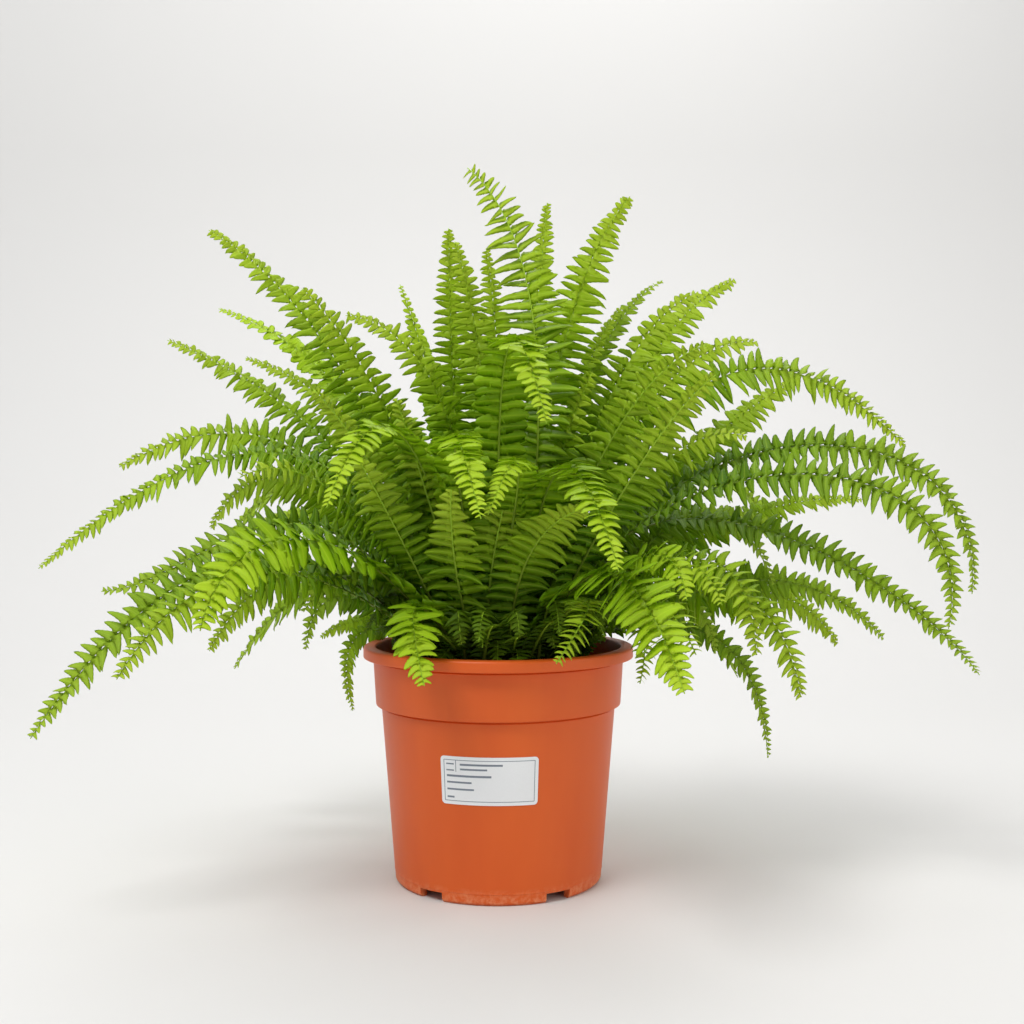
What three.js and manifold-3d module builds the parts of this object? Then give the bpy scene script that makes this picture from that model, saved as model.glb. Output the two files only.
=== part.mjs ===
// A potted fern: a plastic nursery pot filled with soil, a paper label on the pot, and a crown of arching
// fronds that stand in the soil. Millimetres, +Z up. The origin is on the pot's axis at its foot, the
// front of the pot (the label's side) faces -Y, and +X is to the right.
import * as THREE from 'three';
import * as BufferGeometryUtils from 'three/addons/utils/BufferGeometryUtils.js';
import Module from 'manifold-3d';

const wasm = await Module();
wasm.setup();

// ---- driving dimensions -------------------------------------------------------------------------------
const sides = 32;                // flats round the pot
const gap = 0.3;                 // clearance between pieces that touch

const pot = {
  wall: 1.8,
  footRadius: 70.6,
  footBevel: 2,
  collarStart: 124,              // height of the step under the collar
  wallTopRadius: 82.2,           // body just under the step
  collarRadius: 86.2,            // collar at the step
  collarTopRadius: 88,
  lipBottom: 157,
  lipRadius: 95,
  lipRound: 1.6,
  height: 164.5,
  floorBottom: 6.8,
  floorTop: 8.8,
  footRing: 3.4,                 // thickness of the ring that the pot stands on
};
const notch = { count: 5, width: 17.5, height: 6.5, firstAngle: -38.4, depth: 12 };
const drainHole = { radius: 6, ringRadius: 46, sides: 8 };

const soil = { edgeHeight: 148, plateauHeight: 152, plateauRadius: 64 };

const label = { width: 65, height: 32, corner: 2.5, thick: 0.6, centreHeight: 84, centreAngle: -4.5 };

const stem = {
  depth: 12,                     // how far a frond's foot stands in the soil
  rise: 3,                       // upright part of the stalk above the soil
  wide: 1.5,                     // half width of the stalk at the foot
  thick: 1.2,                    // half thickness there
  tipWide: 0.45,
  tipThick: 0.45,
  innerRing: 3,                  // upright fronds root near the middle of the crown
  outerRing: 46,                 // low ones at its edge
  spacing: 8,                    // least distance between two feet
  pushes: 80,                    // rounds in which the feet are pushed apart
};

const blade = {
  bare: 0.06,                    // share of the rib that has no leaflets
  pitch: 17.1,                   // mean leaflet spacing along the rib
  end: 0.985,                    // where the last leaflet sits
  crowding: 1.2,                 // how much closer the leaflets stand towards the tip
  lean: 5,                       // degrees that the lowest leaflets lean to the frond's tip
  tipLean: 16,                   // further lean of the last ones
  sag: 0.12,                     // drop of a leaflet's tip, as a share of its length
  footShare: 0.45,               // length of the first leaflets, as a share of the longest
  fullFrom: 0.3,                 // share of the blade where they reach their full length
  fullTo: 0.6,                   // and where they begin to shorten again
  tipShare: 0.25,                // length of the last ones
  taper: 1.5,                    // how late the blade narrows: 1 is an even taper
  leastPairs: 5,                 // leaflet pairs of the shortest frond
  turnFrom: 0.1,                 // share of the rib where the blade begins to turn to the front
  turnTo: 0.6,                   // and where it has turned fully
  tipReach: 0.15,                // bare end of the rib beyond the last pair, in longest leaflets
};

// Ways a leaflet gives way to a neighbouring frond, tried in order: turn about the rib and length.
const givingWay = [[0, 1], [16, 1], [-16, 1], [30, 0.9], [-30, 0.9], [0, 0.75], [20, 0.7], [-20, 0.7],
  [40, 0.7], [-40, 0.7], [0, 0.5], [25, 0.5], [-25, 0.5]];
const clear = { step: 1.5, distance: 2.6 };

// ---- the fronds ---------------------------------------------------------------------------------------
// Each frond: its node, the points that its rib passes with its tip last, the turn of its blade towards
// the front in degrees, its longest leaflet, and its age. Fronds with one name grow from one foot and are
// one piece.
const fronds = [
  ['front_right_light', [[67, -110, 222], [101, -226, 164]], 32, 27, 'young'],
  ['front_left_light', [[-90, -62, 228], [-143, -125, 240], [-170, -185, 194]], 45, 27, 'young'],
  ['front_rim_left', [[-53, -70, 197], [-45, -135, 155]], 5, 21, 'young'],
  ['front_droop_top', [[4, -70, 356], [28, -170, 313]], 0, 22, 'young'],
  ['front_droop_centre', [[-28, -75, 300], [-10, -185, 258]], 0, 20, 'young'],
  ['front_droop_centre', [[13, -85, 283], [-6, -165, 260]], 0, 16, 'young'],
  ['front_droop_right', [[37, -85, 284], [67, -205, 229]], 5, 21, 'young'],
  ['front_droop_left', [[-61, -70, 307], [-101, -160, 264]], 15, 20, 'young'],
  ['front_right_back', [[84, -75, 207], [119, -145, 175]], 35, 22, 'mid'],
  ['front_centre', [[-28, -62, 221], [-30, -95, 274]], 0, 22, 'mid'],
  ['front_centre', [[-46, -48, 264], [-67, -66, 334]], -30, 22, 'mid'],
  ['front_centre_tall', [[-6, -48, 207], [8, -72, 282]], 0, 23, 'mid'],
  ['front_centre_tall', [[39, -34, 287], [63, -48, 353]], 70, 23, 'mid'],
  ['front_left_rise', [[-64, -58, 240], [-93, -92, 300]], -30, 23, 'mid'],
  ['front_right_rise', [[19, -70, 228], [53, -125, 263]], -30, 24, 'mid'],
  ['front_right_rise', [[56, -85, 202], [35, -140, 169]], 0, 16, 'mid'],
  ['front_right_short', [[94, -62, 228], [118, -112, 205]], 40, 19, 'young'],
  ['front_right_short', [[88, -42, 187], [92, -80, 148]], 30, 13, 'mid'],
  ['top_centre', [[25, -40, 375], [-21, -30, 493]], -50, 31, 'mid'],
  ['top_right', [[45, 28, 368], [98, 56, 492]], 55, 25, 'mid'],
  ['top_left_a', [[-31, 26, 317], [-37, 50, 467]], 10, 20, 'mid'],
  ['top_left_b', [[-8, -8, 316], [-31, 15, 451]], 30, 21, 'mid'],
  ['top_left_c', [[1, 22, 324], [-9, 36, 450]], 10, 19, 'mid'],
  ['left_up_inner', [[-36, -28, 326], [-106, -12, 395]], 50, 22, 'mid'],
  ['left_up_long', [[-105, 6, 348], [-210, 32, 462]], 35, 24, 'mid'],
  ['left_up_long', [[-134, 34, 214], [-216, 56, 153]], 75, 22, 'mid'],
  ['left_up_thick', [[-67, -34, 306], [-133, -36, 410]], 60, 27, 'mid'],
  ['left_up_thick', [[-86, -38, 216], [-129, -60, 193]], 50, 20, 'deep'],
  ['left_fill_high', [[-71, -52, 267], [-120, -76, 339]], -30, 23, 'mid'],
  ['right_up_b', [[77, -2, 334], [143, 14, 415]], 45, 26, 'mid'],
  ['right_up_b', [[136, 28, 246], [223, 56, 230]], 60, 18, 'mid'],
  ['right_up_c', [[95, 35, 341], [178, 66, 432]], 35, 24, 'mid'],
  ['right_up_c', [[182, 42, 207], [290, 58, 161]], 65, 20, 'deep'],
  ['right_up_low', [[95, -35, 321], [177, -28, 375]], 50, 25, 'mid'],
  ['right_rise_inner', [[73, -60, 304], [133, -88, 367]], -35, 24, 'mid'],
  ['right_rise_inner', [[130, -49, 227], [170, -68, 165]], 50, 22, 'mid'],
  ['right_rise_low', [[87, -74, 282], [136, -108, 346]], -35, 24, 'mid'],
  ['right_rise_low', [[103, -70, 224], [140, -112, 202]], 45, 18, 'mid'],
  ['right_up_a', [[62, 50, 342], [126, 86, 434]], 25, 19, 'deep'],
  ['right_up_small', [[51, 36, 317], [92, 56, 410]], 15, 17, 'mid'],
  ['left_mid_high', [[-113, 45, 294], [-251, 76, 387]], 30, 20, 'mid'],
  ['left_mid_high', [[-100, 40, 168], [-109, 56, 108]], 75, 12, 'mid'],
  ['left_mid', [[-139, 14, 299], [-272, 18, 290]], 50, 22, 'mid'],
  ['left_mid', [[-138, 22, 275], [-212, 44, 245]], 55, 20, 'mid'],
  ['left_long_thin', [[-141, -14, 297], [-320, -12, 219]], 40, 17, 'mid'],
  ['left_mid_low', [[-124, -24, 248], [-196, -46, 233], [-262, -62, 207]], 48, 22, 'deep'],
  ['left_mid_low', [[-109, 8, 197], [-138, 14, 159]], 70, 15, 'deep'],
  ['left_fill_mid', [[-102, -62, 267], [-162, -106, 282]], 55, 22, 'mid'],
  ['left_low_long', [[-164, -70, 227], [-290, -118, 120]], 45, 24, 'deep'],
  ['left_low_inner', [[-148, -88, 221], [-232, -134, 159]], 50, 22, 'mid'],
  ['right_arch_high', [[147, 8, 348], [294, 18, 305]], 55, 22, 'mid'],
  ['right_straight', [[135, 48, 285], [231, 92, 358]], 35, 24, 'mid'],
  ['right_straight', [[152, 34, 168], [202, 52, 73]], 65, 15, 'deep'],
  ['right_arch_a', [[133, -18, 281], [261, -42, 297], [318, -52, 204]], 55, 22, 'deep'],
  ['right_arch_b', [[119, -42, 264], [239, -82, 277], [285, -104, 186]], 55, 24, 'deep'],
  ['right_mid', [[123, 0, 252], [248, -10, 218], [322, -56, 150]], 50, 21, 'deep'],
  ['right_low_front', [[153, -30, 204], [204, -48, 134]], 50, 22, 'mid'],
  ['right_low_front', [[120, 4, 196], [156, 12, 156]], 65, 15, 'deep'],
  ['right_fill_high', [[104, -24, 281], [169, -38, 310]], 50, 22, 'mid'],
  ['right_fill_high', [[138, 16, 252], [202, 34, 204]], 55, 20, 'deep'],
  ['right_small_tip', [[161, 62, 242], [282, 92, 266]], 45, 17, 'mid'],
  ['right_small_tip', [[181, 78, 197], [269, 114, 151]], 70, 20, 'mid'],
  ['small_up_left', [[-41, 58, 311], [-76, 95, 432]], 0, 16, 'young'],
  ['left_high_thin', [[-102, 80, 327], [-222, 124, 417]], 25, 18, 'young'],
  ['left_high_thin', [[-97, 52, 240], [-182, 84, 249]], 55, 18, 'mid'],
  ['left_high_short', [[-96, 60, 303], [-195, 92, 375]], 25, 18, 'mid'],
  ['left_high_short', [[-90, 68, 174], [-139, 102, 158]], 65, 12, 'mid'],
  ['top_behind', [[24, 62, 341], [38, 98, 496]], 0, 20, 'mid'],

  // The side that faces away, as full as the rest.
  ['back_centre_high', [[-8, 112, 358], [-24, 205, 385]], 0, 27, 'mid'],
  ['back_centre_high', [[-30, 92, 196], [-58, 168, 134]], 0, 22, 'mid'],
  ['back_left_high', [[-74, 108, 312], [-150, 205, 318]], 35, 26, 'mid'],
  ['back_left_high', [[-118, 88, 204], [-214, 142, 128]], 50, 24, 'deep'],
  ['back_right_high', [[80, 106, 318], [158, 205, 330]], 35, 26, 'mid'],
  ['back_right_high', [[110, 90, 198], [196, 152, 120]], 50, 23, 'deep'],
  ['back_centre', [[16, 118, 282], [36, 228, 226]], 0, 27, 'mid'],
  ['back_centre', [[30, 92, 198], [48, 172, 140]], 0, 20, 'young'],
  ['back_left_mid', [[-128, 104, 276], [-232, 180, 222]], 50, 26, 'deep'],
  ['back_right_mid', [[130, 100, 280], [244, 178, 230]], 50, 26, 'deep'],
  ['back_left_arch', [[-50, 112, 256], [-104, 225, 170]], 0, 26, 'mid'],
  ['back_right_arch', [[72, 112, 250], [132, 222, 168]], 0, 25, 'deep'],
];

// ---- materials ----------------------------------------------------------------------------------------
const finish = (name, color, roughness) =>
  new THREE.MeshStandardMaterial({ name, color, roughness, metalness: 0 });
const terracottaPlastic = () => finish('terracotta_plastic', 0xcb5d30, 0.45);
const pottingSoil = () => finish('potting_soil', 0x2a1c12, 0.95);
const whitePaper = () => finish('white_label', 0xe9eaec, 0.6);
const leafColours = { young: 0x9cc62e, mid: 0x5f9a22, deep: 0x3f7a1c };
const leaf = (age) => finish(`leaf_${age}`, leafColours[age], 0.5);

// ---- solids -------------------------------------------------------------------------------------------
const shareAlong = (a, b, share) => a + (b - a) * share;

function toSolid(geometry) {
  const bare = geometry.clone();
  bare.deleteAttribute('normal');
  bare.deleteAttribute('uv');
  const merged = BufferGeometryUtils.mergeVertices(bare, 1e-4);
  return new wasm.Manifold(new wasm.Mesh({
    numProp: 3,
    vertProperties: new Float32Array(merged.attributes.position.array),
    triVerts: new Uint32Array(merged.index.array),
  }));
}

function toGeometry(solid) {
  const mesh = solid.getMesh();
  const geometry = new THREE.BufferGeometry();
  geometry.setAttribute('position', new THREE.BufferAttribute(new Float32Array(mesh.vertProperties), 3));
  geometry.setIndex(new THREE.BufferAttribute(new Uint32Array(mesh.triVerts), 1));
  return geometry;
}

// A closed profile of [radius, height] pairs turned about Z.
function turned(profile, turn = 0) {
  const points = [...profile, profile[0]].map(([radius, height]) => new THREE.Vector2(radius, height));
  const geometry = new THREE.LatheGeometry(points, sides);
  geometry.rotateX(Math.PI / 2);
  geometry.rotateZ(turn);
  return geometry;
}

// Angle round the pot from the front, positive to the right, as a turn about Z.
const fromFront = (degrees) => THREE.MathUtils.degToRad(degrees - 90);

function wallRadius(height) {
  const share = (height - pot.footBevel) / (pot.collarStart - pot.footBevel);
  return pot.footRadius + pot.footBevel + (pot.wallTopRadius - pot.footRadius - pot.footBevel) * share;
}

function potSolid() {
  const inside = (radius) => radius - pot.wall;
  const profile = [
    [pot.footRadius, 0],
    [pot.footRadius + pot.footBevel, pot.footBevel],
    [pot.wallTopRadius, pot.collarStart],
    [pot.collarRadius, pot.collarStart + pot.wall],
    [pot.collarTopRadius, pot.lipBottom],
    [pot.lipRadius - pot.lipRound, pot.lipBottom],
    [pot.lipRadius, pot.lipBottom + pot.lipRound],
    [pot.lipRadius, pot.height - pot.lipRound],
    [pot.lipRadius - pot.lipRound, pot.height],
    [inside(pot.collarTopRadius), pot.height],
    [inside(pot.collarRadius), pot.collarStart + pot.wall],
    [inside(pot.wallTopRadius), pot.collarStart - pot.wall],
    [inside(wallRadius(pot.floorTop)), pot.floorTop],
    [0, pot.floorTop],
    [0, pot.floorBottom],
    [pot.footRadius - pot.footRing, pot.floorBottom],
    [pot.footRadius - pot.footRing, 0],
  ];
  let solid = toSolid(turned(profile));
  for (let i = 0; i < notch.count; i += 1) {
    const turn = fromFront(notch.firstAngle + (360 / notch.count) * i);
    const cut = new THREE.BoxGeometry(notch.depth, notch.width, notch.height * 2);
    cut.translate(pot.footRadius, 0, 0);
    cut.rotateZ(turn);
    solid = solid.subtract(toSolid(cut));
    const drain = new THREE.CylinderGeometry(drainHole.radius, drainHole.radius, pot.floorTop * 2,
      drainHole.sides);
    drain.rotateX(Math.PI / 2);
    drain.translate(drainHole.ringRadius, 0, pot.floorTop);
    drain.rotateZ(turn);
    solid = solid.subtract(toSolid(drain));
  }
  return solid;
}

// The soil fills the pot, down to its floor and out to its wall.
function soilSolid(holes) {
  const collarLow = pot.collarStart + pot.wall;
  const risen = (soil.edgeHeight - collarLow) / (pot.height - collarLow);
  const edgeRadius = shareAlong(pot.collarRadius, pot.collarTopRadius, risen);
  const inside = (radius) => radius - pot.wall - gap * 1.5;
  const profile = [
    [0, pot.floorTop + gap],
    [inside(wallRadius(pot.floorTop)), pot.floorTop + gap],
    [inside(pot.wallTopRadius), pot.collarStart - pot.wall],
    [inside(pot.collarRadius), collarLow],
    [inside(edgeRadius), soil.edgeHeight],
    [soil.plateauRadius, soil.plateauHeight],
    [0, soil.plateauHeight],
  ];
  return toSolid(turned(profile)).subtract(wasm.Manifold.union(holes));
}

// The label lies on the wall: a thin shell of the wall's own taper inside a rounded rectangle.
function labelSolid() {
  const low = label.centreHeight - label.height;
  const high = label.centreHeight + label.height;
  const shell = toSolid(turned([
    [wallRadius(low) + gap, low],
    [wallRadius(low) + gap + label.thick, low],
    [wallRadius(high) + gap + label.thick, high],
    [wallRadius(high) + gap, high],
  ]));
  const x = label.width / 2;
  const y = label.height / 2;
  const r = label.corner;
  const outline = new THREE.Shape();
  outline.moveTo(r - x, -y);
  outline.lineTo(x - r, -y).absarc(x - r, r - y, r, -Math.PI / 2, 0);
  outline.lineTo(x, y - r).absarc(x - r, y - r, r, 0, Math.PI / 2);
  outline.lineTo(r - x, y).absarc(r - x, y - r, r, Math.PI / 2, Math.PI);
  outline.lineTo(-x, r - y).absarc(r - x, r - y, r, Math.PI, 1.5 * Math.PI);
  const stamp = new THREE.ExtrudeGeometry(outline, {
    depth: pot.lipRadius, curveSegments: 2, bevelEnabled: false,
  });
  stamp.rotateX(Math.PI / 2);
  stamp.rotateZ(THREE.MathUtils.degToRad(label.centreAngle));
  stamp.translate(0, 0, label.centreHeight);
  return shell.intersect(toSolid(stamp));
}

// ---- fronds -------------------------------------------------------------------------------------------
const up = new THREE.Vector3(0, 0, 1);
const names = [...new Set(fronds.map(([name]) => name))];

// Feet: each frond roots on its own side of the crown, and the feet are then pushed apart.
function footPlaces() {
  const places = names.map((name) => {
    const [, [via]] = fronds.find(([other]) => other === name);
    const reach = Math.hypot(via[0], via[1]);
    const low = reach / (reach + Math.max(0, via[2] - soil.plateauHeight));
    const ring = shareAlong(stem.innerRing, stem.outerRing, Math.sqrt(low));
    return new THREE.Vector2(via[0], via[1]).multiplyScalar(ring / reach);
  });
  for (let pass = 0; pass < stem.pushes; pass += 1) {
    places.forEach((a, i) => places.slice(i + 1).forEach((b) => {
      const apart = b.clone().sub(a);
      const short = stem.spacing - apart.length();
      if (short > 0) {
        apart.setLength(short / 2);
        a.sub(apart);
        b.add(apart);
      }
    }));
  }
  return places;
}

// A smooth arch from the soil that passes the given points at even steps of its way: halfway and at the
// end for two points, and at each third of the way for three.
function arch(start, [first, second, third]) {
  const blend = (...terms) => terms.reduce((sum, [point, share]) => sum.addScaledVector(point, share),
    new THREE.Vector3());
  if (!third) {
    const crest = blend([first, 2], [start, -1 / 2], [second, -1 / 2]);
    return new THREE.QuadraticBezierCurve3(start, crest, second);
  }
  const low = blend([start, -5 / 6], [first, 3], [second, -3 / 2], [third, 1 / 3]);
  const high = blend([start, 1 / 3], [first, -3 / 2], [second, 3], [third, -5 / 6]);
  return new THREE.CubicBezierCurve3(start, low, high, third);
}

// The frond's rib. Its blade is level from side to side near the foot and turns about the rib from there,
// with the edge that is further from the pot's front going up.
class Rib {
  constructor(foot, path, turn) {
    const start = new THREE.Vector3(foot.x, foot.y, soil.plateauHeight + stem.rise);
    this.curve = arch(start, path.map((point) => new THREE.Vector3(...point)));
    this.length = this.curve.getLength();
    const outward = this.curve.getPoint(1).sub(start).setZ(0).normalize();
    this.across = new THREE.Vector3(outward.y, -outward.x, 0);
    this.turn = THREE.MathUtils.degToRad(turn) * (outward.x > 0 ? 1 : -1);
  }

  // Where the rib is at a share of its length, with its three directions.
  at(share) {
    const point = this.curve.getPointAt(share);
    const along = this.curve.getTangentAt(share);
    const turn = this.turn * THREE.MathUtils.smoothstep(share, blade.turnFrom, blade.turnTo);
    const side = this.across.clone().projectOnPlane(along).normalize().applyAxisAngle(along, turn);
    return { point, along, side, upper: side.clone().cross(along) };
  }
}

// Leaflet length along the blade: short at the foot, full in the middle, small at the tip.
function leafletShare(v) {
  const rise = THREE.MathUtils.lerp(blade.footShare, 1, Math.min(1, v / blade.fullFrom));
  const beyond = Math.max(0, v - blade.fullTo) / (1 - blade.fullTo);
  return rise * THREE.MathUtils.lerp(1, blade.tipShare, beyond ** blade.taper);
}

// Sample points of everything placed so far, in a grid of small cells, each with its frond's number.
const taken = new Map();
const cellOf = (value) => Math.floor(value / clear.distance);
const cellKey = (x, y, z) => (x + 2048) * 16777216 + (y + 2048) * 4096 + (z + 2048);

function occupy(points, owner) {
  points.forEach((p) => {
    const key = cellKey(cellOf(p.x), cellOf(p.y), cellOf(p.z));
    if (!taken.has(key)) taken.set(key, []);
    taken.get(key).push([p, owner]);
  });
}

// Whether a point keeps clear of the pot's rim, its wall and the soil.
function isOffPot(p) {
  const radius = Math.hypot(p.x, p.y);
  const inner = pot.collarTopRadius - pot.wall - clear.distance;
  const floor = radius < inner ? soil.plateauHeight : pot.height;
  return radius > pot.lipRadius + clear.distance || p.z > floor + clear.distance;
}

function isClear(points, owner) {
  const limit = clear.distance ** 2;
  const near = [-1, 0, 1];
  return points.every(isOffPot) && points.every((p) => {
    const [x, y, z] = [cellOf(p.x), cellOf(p.y), cellOf(p.z)];
    return near.every((i) => near.every((j) => near.every((k) => {
      const found = taken.get(cellKey(x + i, y + j, z + k)) ?? [];
      return found.every(([q, other]) => other === owner || q.distanceToSquared(p) > limit);
    })));
  });
}

// Points all over the triangle of a leaflet, from its root edge to its tip.
function leafletSamples(low, high, tip) {
  const points = [];
  const rows = Math.ceil(tip.distanceTo(low) / clear.step);
  for (let i = 1; i <= rows; i += 1) {
    const a = low.clone().lerp(tip, i / rows);
    const b = high.clone().lerp(tip, i / rows);
    const columns = Math.ceil(a.distanceTo(b) / clear.step);
    for (let j = 0; j <= columns; j += 1) points.push(a.clone().lerp(b, columns ? j / columns : 0));
  }
  return points;
}

function ribSamples(rib) {
  const count = Math.ceil(rib.length / clear.step);
  return Array.from({ length: count + 1 }, (_, i) => rib.curve.getPointAt(i / count));
}

class Body {
  constructor() {
    this.positions = [];
    this.triangles = [];
  }

  vertex(p) {
    this.positions.push(p.x, p.y, p.z);
    return this.positions.length / 3 - 1;
  }

  face(...corners) {
    for (let i = 2; i < corners.length; i += 1) {
      this.triangles.push(corners[0], corners[i - 1], corners[i]);
    }
  }

  // A pyramid that stands on a four-sided face, or the bare face where it has no tip.
  spike(base, tip) {
    if (!tip) {
      this.face(...base);
      return;
    }
    const top = this.vertex(tip);
    base.forEach((corner, i) => this.face(corner, base[(i + 1) % base.length], top));
  }

  geometry() {
    const geometry = new THREE.BufferGeometry();
    geometry.setAttribute('position', new THREE.Float32BufferAttribute(this.positions, 3));
    geometry.setIndex(this.triangles);
    return geometry;
  }
}

// The rib's section at a share of its length: flat above, with a keel below.
function ribSection(body, rib, share) {
  const { point, side, upper } = rib.at(share);
  const wide = side.clone().multiplyScalar(shareAlong(stem.wide, stem.tipWide, share));
  const thick = upper.clone().multiplyScalar(shareAlong(stem.thick, stem.tipThick, share));
  return sectionCorners(body, point, wide, thick);
}

function sectionCorners(body, point, wide, thick) {
  const corner = (a, b) => body.vertex(point.clone().addScaledVector(wide, a).addScaledVector(thick, b));
  return { left: corner(-1, 1), right: corner(1, 1), keel: corner(0, -1) };
}

// A leaflet's tip, seen from the rib between two sections, after it has given way to its neighbours.
function leafletTip(rib, from, to, hand, length, lean, fold) {
  const { point, along, side, upper } = rib.at((from + to) / 2);
  const out = side.clone().multiplyScalar(hand).applyAxisAngle(along, -hand * fold);
  const down = upper.clone().applyAxisAngle(along, -hand * fold).multiplyScalar(-blade.sag * length);
  return point.clone().add(down)
    .addScaledVector(out, length * Math.cos(lean))
    .addScaledVector(along, length * Math.sin(lean));
}

function placeLeaflet(rib, from, to, hand, length, lean, owner) {
  const low = rib.at(from).point;
  const high = rib.at(to).point;
  for (const [fold, share] of givingWay) {
    const tip = leafletTip(rib, from, to, hand, length * share, lean, THREE.MathUtils.degToRad(fold));
    const samples = leafletSamples(low, high, tip);
    if (isClear(samples, owner)) {
      occupy(samples, owner);
      return tip;
    }
  }
  return null;
}

function frondGeometry({ rib, foot, longest, owner }) {
  const body = new Body();
  const bottom = new THREE.Vector3(foot.x, foot.y, soil.plateauHeight - stem.depth);
  const { wide, thick } = footSection(rib);
  let last = sectionCorners(body, bottom, wide, thick);
  body.face(last.keel, last.right, last.left);

  const bladeLength = rib.length * (1 - blade.bare);
  const pairs = Math.max(blade.leastPairs, Math.round(bladeLength / blade.pitch));
  const stalk = [0, blade.bare / 2];
  const leafy = Array.from({ length: pairs + 1 }, (_, i) => 1 - (1 - i / pairs) ** blade.crowding);
  const stations = [...stalk, ...leafy.map((v) => shareAlong(blade.bare, blade.end, v))];

  stations.forEach((share, i) => {
    const next = ribSection(body, rib, share);
    body.face(last.left, last.right, next.right, next.left);
    const v = leafy[i - stalk.length] ?? 0;
    const length = longest * leafletShare(v);
    const lean = THREE.MathUtils.degToRad(blade.lean + blade.tipLean * v * v);
    const place = (hand) => v > 0 && placeLeaflet(rib, stations[i - 1], share, hand, length, lean, owner);
    body.spike([last.keel, next.keel, next.right, last.right], place(1));
    body.spike([last.keel, last.left, next.left, next.keel], place(-1));
    last = next;
  });

  const end = rib.at(1);
  const tip = body.vertex(end.point.clone().addScaledVector(end.along, longest * blade.tipReach));
  body.face(last.left, last.right, tip);
  body.face(last.keel, tip, last.right);
  body.face(last.left, tip, last.keel);
  return body.geometry();
}

// The foot stands upright in its hole, level with the rib's own section above it.
function footSection(rib) {
  const level = rib.at(0).side.clone().projectOnPlane(up).normalize();
  return {
    wide: level.clone().multiplyScalar(stem.wide),
    thick: level.clone().cross(up).multiplyScalar(stem.thick),
  };
}

// A square hole that takes a foot whichever way it is turned.
function footHole(foot) {
  const width = (Math.hypot(stem.wide, stem.thick) + gap) * 2;
  const hole = new THREE.BoxGeometry(width, width, (stem.depth + gap) * 2);
  hole.translate(foot.x, foot.y, soil.plateauHeight);
  return toSolid(hole);
}

// ---- the whole plant ----------------------------------------------------------------------------------
const group = new THREE.Group();

function addPiece(name, geometry, material) {
  const mesh = new THREE.Mesh(geometry, material);
  mesh.name = name;
  group.add(mesh);
}

const feet = footPlaces();
const grown = fronds.map(([name, path, turn, longest, age], owner) => {
  const foot = feet[names.indexOf(name)];
  return { name, foot, rib: new Rib(foot, path, turn), longest, age, owner };
});
grown.forEach(({ rib, owner }) => occupy(ribSamples(rib), owner));

addPiece('pot', toGeometry(potSolid()), terracottaPlastic());
addPiece('soil', toGeometry(soilSolid(feet.map(footHole))), pottingSoil());
addPiece('label', toGeometry(labelSolid()), whitePaper());
names.forEach((name) => {
  const tuft = grown.filter((frond) => frond.name === name);
  const solids = tuft.map((frond) => toSolid(frondGeometry(frond)));
  addPiece(`frond_${name}`, toGeometry(wasm.Manifold.union(solids)), leaf(tuft[0].age));
});

export default group;
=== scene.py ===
# Potted fern: the looks of the pot, its soil and label, and every frond with its leaflets.
import math
import random

import bmesh
import bpy
import numpy as np
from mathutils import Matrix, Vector, noise


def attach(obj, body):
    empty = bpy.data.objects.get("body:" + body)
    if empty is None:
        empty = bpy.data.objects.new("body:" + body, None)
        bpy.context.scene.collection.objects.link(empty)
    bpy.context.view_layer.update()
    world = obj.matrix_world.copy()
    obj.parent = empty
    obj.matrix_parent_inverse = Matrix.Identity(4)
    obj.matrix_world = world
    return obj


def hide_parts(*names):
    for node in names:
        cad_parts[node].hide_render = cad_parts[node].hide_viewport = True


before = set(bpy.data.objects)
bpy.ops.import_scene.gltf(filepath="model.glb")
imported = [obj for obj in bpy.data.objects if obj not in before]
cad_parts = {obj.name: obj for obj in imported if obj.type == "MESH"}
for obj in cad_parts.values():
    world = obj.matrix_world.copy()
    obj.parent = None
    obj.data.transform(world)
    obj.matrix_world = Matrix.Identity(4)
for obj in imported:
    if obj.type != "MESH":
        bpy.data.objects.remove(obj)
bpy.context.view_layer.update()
mm = 0.001  # sizes below are in millimetres, the scene is in metres


def srgb(code):
    # "#rrggbb" to the linear colour that a shader wants
    parts = [int(code[i:i + 2], 16) / 255 for i in (1, 3, 5)]
    return [c / 12.92 if c <= 0.04045 else ((c + 0.055) / 1.055) ** 2.4 for c in parts] + [1.0]


colourA, colourB, blended = 6, 7, 2  # a Mix node's two colour sockets and its colour output, by number


def addNode(tree, kind, settings=None, links=None):
    # one node with its settings and what feeds it, by property name, socket name or socket number;
    # a link to a whole node takes its first output
    node = tree.nodes.new("ShaderNode" + kind)
    for key, value in (settings or {}).items():
        if isinstance(key, str) and hasattr(node, key):
            setattr(node, key, value)
        else:
            node.inputs[key].default_value = value
    for key, source in (links or {}).items():
        tree.links.new(source.outputs[0] if hasattr(source, "outputs") else source, node.inputs[key])
    return node


def newMaterial(name):
    material = bpy.data.materials.new(name)
    material.use_nodes = True
    material.node_tree.nodes.clear()
    return material, material.node_tree


def blendBetween(a, b, share):
    return a + (b - a) * share


def smoothStep(value, low, high):
    x = min(1, max(0, (value - low) / (high - low)))
    return x * x * (3 - 2 * x)


def addToScene(name, data):
    thing = bpy.data.objects.new(name, data)
    bpy.context.scene.collection.objects.link(thing)
    return thing


def addObject(name, verts, faces, materials):
    mesh = bpy.data.meshes.new(name)
    mesh.from_pydata([tuple(v) for v in verts], [], faces)
    for material in materials:
        mesh.materials.append(material)
    mesh.shade_smooth()
    return addToScene(name, mesh)


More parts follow.
